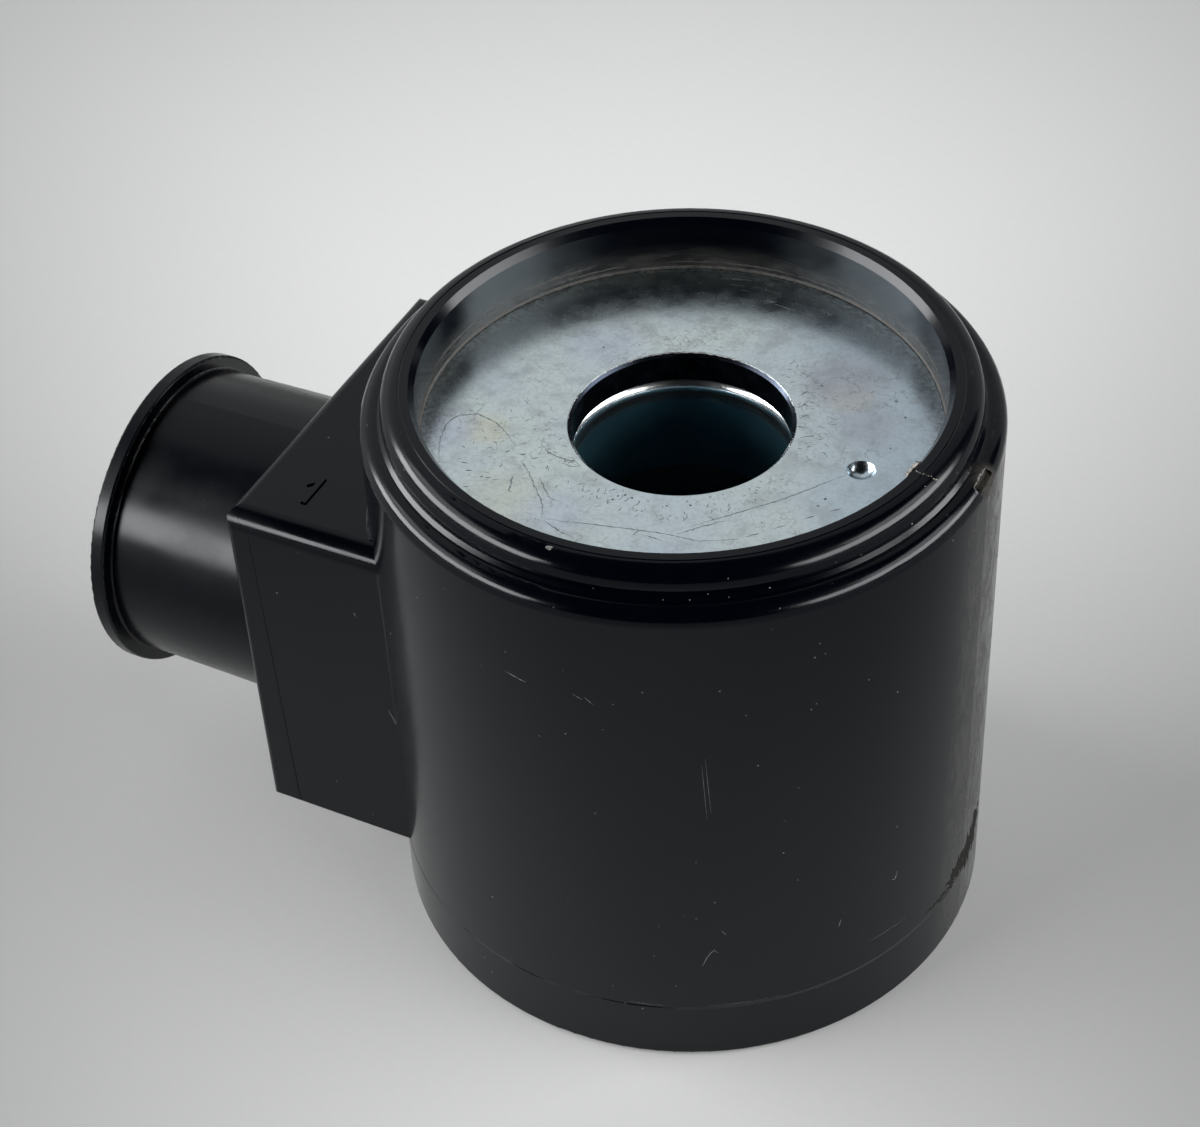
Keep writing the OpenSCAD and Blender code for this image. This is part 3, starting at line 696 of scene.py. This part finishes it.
def mould_flash():
    """Thin brownish flash at a crack in the rim."""
    s = Shader("mould_flash")
    grain = s.noise(0.25, detail=4.0, rough=0.6)
    dark, light = (0.07, 0.063, 0.053, 1), (0.38, 0.355, 0.31, 1)
    return s.one_grain(grain, dark, light, (0.45, 0.65), 0.03, (0.35, 0.65))


def marked_zinc(name, dark, light, roughness, depth):
    """Zinc plate with a fine grain where something has marked it."""
    s = Shader(name)
    grain = s.noise(0.3, detail=3.0)
    return s.one_grain(grain, dark, light, roughness, depth, NOISE_SPAN, Metallic=1.0)


def rubbed_zinc():
    """Zinc plate where a nut has rubbed and bitten it a little darker."""
    return marked_zinc("rubbed_zinc", (0.22, 0.245, 0.25, 1), (0.54, 0.60, 0.61, 1), (0.3, 0.42), 0.004)


def scratched_zinc():
    """Zinc plate where it is scratched or pitted dark."""
    return marked_zinc("scratched_zinc", (0.05, 0.055, 0.06, 1), (0.28, 0.31, 0.32, 1), (0.35, 0.5), 0.006)


def bared_zinc_and_highlight():
    """Zinc plate where it is rubbed pale, also used for a painted highlight."""
    return marked_zinc("bared_zinc_and_highlight", (0.62, 0.65, 0.64, 1), (0.90, 0.92, 0.91, 1), (0.4, 0.55), 0.006)


def paper():
    """The floor: pale matt paper, with a painted pool of light round the part that falls off to darker grey
    further out.
    """
    s = Shader("paper")
    fibre = s.noise(0.8, detail=4.0)
    back = s.along(AWAY)
    widening = s.math("SUBTRACT", 1.0, s.math("MULTIPLY", back, LIGHT_POOL_WIDENS))
    across = s.math("MULTIPLY", s.math("ADD", s.along(RIGHT), LIGHT_POOL_LEFT), widening)
    deep = s.math("MULTIPLY", s.math("SUBTRACT", back, LIGHT_POOL_BACK), LIGHT_POOL_SQUEEZE)
    square = s.math("ADD", s.math("MULTIPLY", across, across), s.math("MULTIPLY", deep, deep))
    away = s.math("SQRT", s.math("ADD", square, LIGHT_POOL_FLAT * LIGHT_POOL_FLAT))
    # Painted light: a whiter pool round the part, falling off to darker paper further out
    share = s.ramp(away, LIGHT_POOL_FLAT, LIGHT_POOL_REACH)
    white = s.blend(fibre, (0.65, 0.66, 0.655, 1), (0.68, 0.685, 0.68, 1))
    s.set(Base_Color=s.blend(share, white, (0.27, 0.273, 0.272, 1)))
    s.set(Roughness=0.9, Specular_IOR_Level=0.1)
    return s.material


def black_cloth():
    """The screen round the camera: black cloth."""
    s = Shader("black_cloth")
    weave = s.noise(3.0, detail=2.0)
    s.set(Base_Color=s.blend(weave, (0.010, 0.010, 0.011, 1), (0.018, 0.018, 0.018, 1)))
    s.set(Roughness=0.95, Specular_IOR_Level=0.0)
    return s.material


def finish_nodes():
    """Gives every solid of the frame the finish of its slot."""
    finishes = {
        "housing_plastic": housing_plastic(),
        "plated_steel": plated_steel(),
        "bright_steel": bright_steel(),
        "bobbin_plastic": bobbin_plastic(),
        "copper_wire": copper_wire(),
        "tape": tape(),
        "carrier_plastic": carrier_plastic(),
        "contact_brass": contact_brass(),
        "solder": solder(),
    }
    for subpart in frame["record"]["subparts"]:
        node = frame["nodes"][subpart["node"]]
        for slot in node.material_slots:
            slot.material = finishes[subpart["material_slot"]]


def make_floor():
    """A wide disc of pale paper under the part."""
    radius = 8.0
    steps = 96
    gap = 0.01 * MM
    mesh = bpy.data.meshes.new("floor")
    disc = bmesh.new()
    bmesh.ops.create_circle(disc, cap_ends=True, segments=steps, radius=radius)
    disc.to_mesh(mesh)
    disc.free()
    floor = add_object("floor", mesh)
    floor.location.z = CAD_BOX[0][2] - gap
    mesh.materials.append(paper())


def make_screen():
    """A black screen behind and above the camera, which keeps the edges that face it dark."""
    radius = 2.2
    rows = 16
    columns = 24
    left = radians(-118)
    right = radians(128)
    bottom = radians(3)
    tall = radians(115)
    mesh = bpy.data.meshes.new("screen")
    shell = bmesh.new()
    grid = []
    for row in range(rows + 1):
        height = bottom + row / rows * tall
        line = []
        for column in range(columns + 1):
            turn = left + column / columns * (right - left)
            level = cos(turn) * -AWAY + sin(turn) * RIGHT
            line.append(shell.verts.new(radius * (cos(height) * level + sin(height) * UP)))
        grid.append(line)
    for low, high in zip(grid, grid[1:]):
        for column in range(columns):
            shell.faces.new((low[column], low[column + 1], high[column + 1], high[column]))
    shell.to_mesh(mesh)
    shell.free()
    screen = add_object("screen", mesh)
    screen.visible_camera = False
    mesh.materials.append(black_cloth())


def make_panel(turn, height, brightness, wide, tall):
    """A soft light panel, its place and size given by angles as seen from the part."""
    level = cos(turn) * -AWAY + sin(turn) * RIGHT
    place = PANEL_DISTANCE * (cos(height) * level + sin(height) * UP)
    lamp = bpy.data.lights.new("panel", "AREA")
    lamp.shape = "RECTANGLE"
    lamp.size = 2 * PANEL_DISTANCE * tan(wide / 2)
    lamp.size_y = 2 * PANEL_DISTANCE * tan(tall / 2)
    lamp.energy = brightness * pi * lamp.size * lamp.size_y
    panel = add_object("panel", lamp)
    panel.location = place
    panel.rotation_mode = "QUATERNION"
    panel.rotation_quaternion = look_along(-place)
    panel.visible_camera = False


def make_room():
    """The pale room behind the part, dimmer towards the right."""
    world = bpy.data.worlds.new("room")
    world.use_nodes = True
    tree = world.node_tree
    place = tree.nodes.new("ShaderNodeTexCoord")
    side = tree.nodes.new("ShaderNodeVectorMath")
    side.operation = "DOT_PRODUCT"
    side.inputs[1].default_value = RIGHT
    fall = tree.nodes.new("ShaderNodeMapRange")
    fall.interpolation_type = "SMOOTHSTEP"
    for name, number in ROOM_FALL.items():
        fall.inputs[name].default_value = number
    light = tree.nodes["Background"]
    light.inputs["Color"].default_value = ROOM_COLOUR
    tree.links.new(place.outputs["Generated"], side.inputs[0])
    tree.links.new(side.outputs["Value"], fall.inputs["Value"])
    tree.links.new(fall.outputs["Result"], light.inputs["Strength"])
    bpy.context.scene.world = world


def make_light():
    """Two soft panels on each side of the part, the upper one weaker."""
    for turn, height, brightness, wide, tall in PANELS:
        make_panel(radians(turn), radians(height), brightness, radians(wide), radians(tall))


def ring_place(turn, height, radius=BODY_RADIUS):
    """A place round the bore's axis: degrees to the right of the side that faces the camera, and mm."""
    angle = radians(turn)
    return MM * (radius * (cos(angle) * -AWAY + sin(angle) * RIGHT) + height * UP)


def plate_place(x, y):
    """A place on the upper plate."""
    return MM * Vector((x, y, PLATE_TOP))


def part_place(x, y, z):
    """A place in the part's frame."""
    return MM * Vector((x, y, z))


def trace(place, points):
    """The places of a list of points, each found by a function."""
    return [place(*point) for point in points]


def skin_of(node):
    """The surface of a solid, to set marks on."""
    mesh = frame["nodes"][node].data
    places = [vertex.co for vertex in mesh.vertices]
    return BVHTree.FromPolygons(places, [tuple(face.vertices) for face in mesh.polygons])


class Marks:
    """Small low marks on a solid's surface, gathered into one piece. Sizes are in mm."""

    def __init__(self, skin, seed):
        self.skin = skin
        self.draw = Random(seed)
        self.mesh = bmesh.new()

    def surface(self, point):
        """The nearest place on the surface, and the way out of it, evened out over a small patch."""
        place = self.skin.find_nearest(point)[0]
        patch = self.skin.find_nearest_range(place, MARK_PATCH * MM)
        out = sum((normal for _, normal, _, _ in patch), Vector((0, 0, 0)))
        return place, out.normalized()

    def stroke(self, points, width, rise, ragged=1.0):
        """A scratch along points: a low ridge that thins out at both ends and has a ragged edge."""
        route = []
        for start, end in zip(points, points[1:]):
            steps = max(2, round((end - start).length / (MARK_STEP * MM)))
            route += [start.lerp(end, step / steps) for step in range(steps)]
        route.append(points[-1])
        last = len(route) - 1
        rows = []
        for index, point in enumerate(route):
            ahead = route[min(index + 1, last)] - route[max(index - 1, 0)]
            place, normal = self.surface(point)
            side = normal.cross(ahead).normalized() * width / 2 * MM
            place += side * ragged * self.draw.uniform(-LINE_WAVERS, LINE_WAVERS)
            taper = STROKE_ENDS + (1 - STROKE_ENDS) * sin(pi * index / last)
            side *= taper * (1 + ragged * self.draw.uniform(-WIDTH_WAVERS, WIDTH_WAVERS))
            foot = place - MARK_SUNK * MM * normal
            ridge = place + rise * MM * normal
            rows.append([self.mesh.verts.new(corner) for corner in (foot - side, ridge, foot + side)])
        for low, high in zip(rows, rows[1:]):
            for corner in range(3):
                beside = (corner + 1) % 3
                self.mesh.faces.new((low[corner], high[corner], high[beside], low[beside]))
        self.mesh.faces.new(rows[0])
        self.mesh.faces.new(rows[-1][::-1])

    def speck(self, point, size, rise):
        """A low bump with an uneven outline."""
        place, normal = self.surface(point)
        across = normal.orthogonal().normalized()
        beside = normal.cross(across)
        ring = []
        for corner in range(SPECK_CORNERS):
            turn = 2 * pi * corner / SPECK_CORNERS
            reach = size / 2 * MM * self.draw.uniform(*SPECK_OUTLINE)
            offset = reach * (cos(turn) * across + sin(turn) * beside)
            ring.append(self.mesh.verts.new(place + offset - MARK_SUNK * MM * normal))
        top = self.mesh.verts.new(place + rise * MM * normal)
        base = self.mesh.verts.new(place - SPECK_ROOT * MARK_SUNK * MM * normal)
        for corner in range(SPECK_CORNERS):
            after = (corner + 1) % SPECK_CORNERS
            self.mesh.faces.new((ring[corner], ring[after], top))
            self.mesh.faces.new((ring[after], ring[corner], base))

    def finish(self, name, material):
        """Makes the piece and lets it ride with the part."""
        mesh = bpy.data.meshes.new(name)
        self.mesh.to_mesh(mesh)
        self.mesh.free()
        mesh.materials.append(material)
        piece = add_object(name, mesh)
        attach(piece, "root")


def mark_body(skin):
    """Scratches and specks on the moulding, and painted glints along its mould line."""
    scuffs = Marks(skin, 11)
    for line in BODY_SCRATCHES:
        scuffs.stroke(trace(ring_place, line), *BODY_SCRATCH)
    for line in BODY_HAIRLINES_AND_GLINTS:
        scuffs.stroke(trace(ring_place, line), *HAIRLINE_AND_GLINT)
    for line in TOWER_SCRATCHES:
        scuffs.stroke(trace(part_place, line), *TOWER_SCRATCH)
    for point in BODY_SPECKS:
        scuffs.speck(ring_place(*point), scuffs.draw.uniform(*SPECK_SIZE), SPECK_RISE)
    for turn, radius, height, size in RIM_SPECKS:
        scuffs.speck(ring_place(turn, height, radius), size, RIM_SPECK_RISE)
    far = scuffs.draw
    for _ in range(FAR_SPECKS):
        place = ring_place(far.uniform(*FAR_SPECK_TURN), far.uniform(*FAR_SPECK_HEIGHT))
        scuffs.speck(place, far.uniform(*FAR_SPECK_SIZE), SPECK_RISE)
    for _ in range(FAR_SCRATCHES):
        turn = far.uniform(*FAR_SCRATCH_TURN)
        height = far.uniform(*FAR_SCRATCH_HEIGHT)
        start = ring_place(turn, height)
        end = ring_place(turn + far.uniform(*FAR_SCRATCH_RUN), height + far.uniform(*FAR_SCRATCH_CLIMB))
        scuffs.stroke((start, end), far.uniform(*FAR_SCRATCH_WIDTH), FAR_SCRATCH_RISE)
    scuffs.stroke(trace(part_place, GATE_EDGE), *TORN_EDGE)
    scuffs.finish("housing_scuffs_and_glints", worn_plastic_and_glints())


def mark_gouge_shade(skin):
    """Painted shade of gouges low on the body, laid on as dark strips."""
    shade_strips = Marks(skin, 12)
    for line, width in GOUGE_SHADES:
        shade_strips.stroke(trace(ring_place, line), width, GOUGE_SHADE_RISE)
    shade_strips.finish("housing_gouge_shade", gouge_shade_plastic())


def mark_rim(skin):
    """A crack across the rim and lumps of flash on its chamfer."""
    flash = Marks(skin, 13)
    flash.stroke(trace(ring_place, RIM_CRACK), *CRACK)
    for turn, size in FLASH_LUMPS:
        flash.speck(ring_place(turn, FLASH_HEIGHT, FLASH_RADIUS), size, LUMP_RISE)
    flash.finish("rim_flash", mould_flash())


def mark_recess(skin):
    """Dirt in the corner of the recess and in streaks low on its wall; the corner line is also painted
    light over the dark gap at the plate's edge.
    """
    dirt = Marks(skin, 14)
    # The line round the corner: dirt, and painted light over the dark gap where the plate meets the wall
    corner = [ring_place(turn, CORNER_HEIGHT, RECESS_RADIUS) for turn in CORNER_TURNS]
    dirt.stroke(corner, *CORNER_DIRT_AND_SHEEN, ragged=CORNER_RAGGED)
    for _ in range(DIRT_STREAKS):
        turn = dirt.draw.uniform(0, 360)
        height = PLATE_TOP + dirt.draw.choice(DIRT_HEIGHTS)
        reach = dirt.draw.uniform(*DIRT_STEP)
        arc = [ring_place(turn + step * reach, height, RECESS_RADIUS) for step in range(DIRT_STEPS)]
        dirt.stroke(arc, dirt.draw.uniform(*DIRT_WIDTH), DIRT_RISE)
    dirt.finish("recess_grime_and_sheen", grime_and_sheen())


def mark_nut(skin):
    """The print and the bites of a nut on the upper plate, and crazed plating."""
    print_marks = Marks(skin, 21)
    for line in NUT_PRINT:
        print_marks.stroke(trace(plate_place, line), *NUT_LINE)
    draw = print_marks.draw
    for first, last, count in NUT_SECTORS:
        for _ in range(count):
            turn = draw.uniform(first, last)
            radius = draw.uniform(*NUT_RING)
            start = ring_place(turn, PLATE_TOP, radius)
            end = ring_place(turn + draw.uniform(*BITE_TURN), PLATE_TOP, radius + draw.uniform(*BITE_REACH))
            print_marks.stroke((start, end), draw.uniform(*BITE_WIDTH), BITE_RISE)
    for _ in range(CRAZED_COUNT):
        x, y = (draw.gauss(middle, CRAZED_REACH) for middle in CRAZED_MIDDLE)
        end = plate_place(x + draw.uniform(*CRAZED_RUN), y + draw.uniform(*CRAZED_RUN))
        print_marks.stroke((plate_place(x, y), end), draw.uniform(*CRAZED_WIDTH), BITE_RISE)
    print_marks.finish("nut_print", rubbed_zinc())


def mark_plate(skin):
    """Scratches, dashes and pits on the upper plate."""
    scratches = Marks(skin, 22)
    for line in PLATE_SCRATCHES:
        scratches.stroke(trace(plate_place, line), *PLATE_SCRATCH)
    for line in PLATE_DASHES:
        scratches.stroke(trace(plate_place, line), *PLATE_DASH)
    for point in PLATE_PITS:
        scratches.speck(plate_place(*point), scratches.draw.uniform(*PIT_SIZE), PIT_RISE)
    scratches.finish("plate_scratches", scratched_zinc())


def mark_rub_and_highlight(skin):
    """A painted highlight along the back of the hole's edge, and pale streaks near the edge of the upper
    plate.
    """
    rub_and_highlight = Marks(skin, 24)
    # Painted highlight along the back half of the hole's edge
    edge = [ring_place(turn, PLATE_TOP, HOLE_HIGHLIGHT_RADIUS) for turn in HOLE_HIGHLIGHT_TURNS]
    rub_and_highlight.stroke(edge, *HOLE_EDGE_HIGHLIGHT)
    for _ in range(RUB_STREAKS):
        turn = rub_and_highlight.draw.uniform(*RUB_TURN)
        radius = rub_and_highlight.draw.uniform(*RUB_RADIUS)
        end = turn + rub_and_highlight.draw.uniform(*RUB_RUN)
        streak = [ring_place(place, PLATE_TOP, radius) for place in (turn, end)]
        rub_and_highlight.stroke(streak, rub_and_highlight.draw.uniform(*RUB_WIDTH), RUB_RISE)
    rub_and_highlight.finish("plate_rub_and_highlight", bared_zinc_and_highlight())


def mark_seat():
    """Curved scratches on the lower plate."""
    seat = Marks(skin_of("lower_flux_plate"), 23)
    for _ in range(SEAT_SCRATCHES):
        radius = seat.draw.uniform(*SEAT_RADIUS)
        turn = seat.draw.uniform(0, 360)
        arc = [ring_place(turn + SEAT_STEP * step, SEAT_HEIGHT, radius) for step in range(SEAT_STEPS)]
        seat.stroke(arc, seat.draw.uniform(*SEAT_WIDTH), SEAT_RISE)
    seat.finish("seat_scratches", scratched_zinc())


def mark_part():
    """All the wear on the part."""
    housing = skin_of("housing")
    for mark in (mark_body, mark_gouge_shade, mark_rim, mark_recess):
        mark(housing)
    plate = skin_of("upper_flux_plate")
    for mark in (mark_nut, mark_plate, mark_rub_and_highlight):
        mark(plate)
    mark_seat()


clear_stage()
make_camera()
make_floor()
make_screen()
make_room()
make_light()
finish_nodes()
mark_part()

bpy.context.scene.view_settings.view_transform = "Standard"
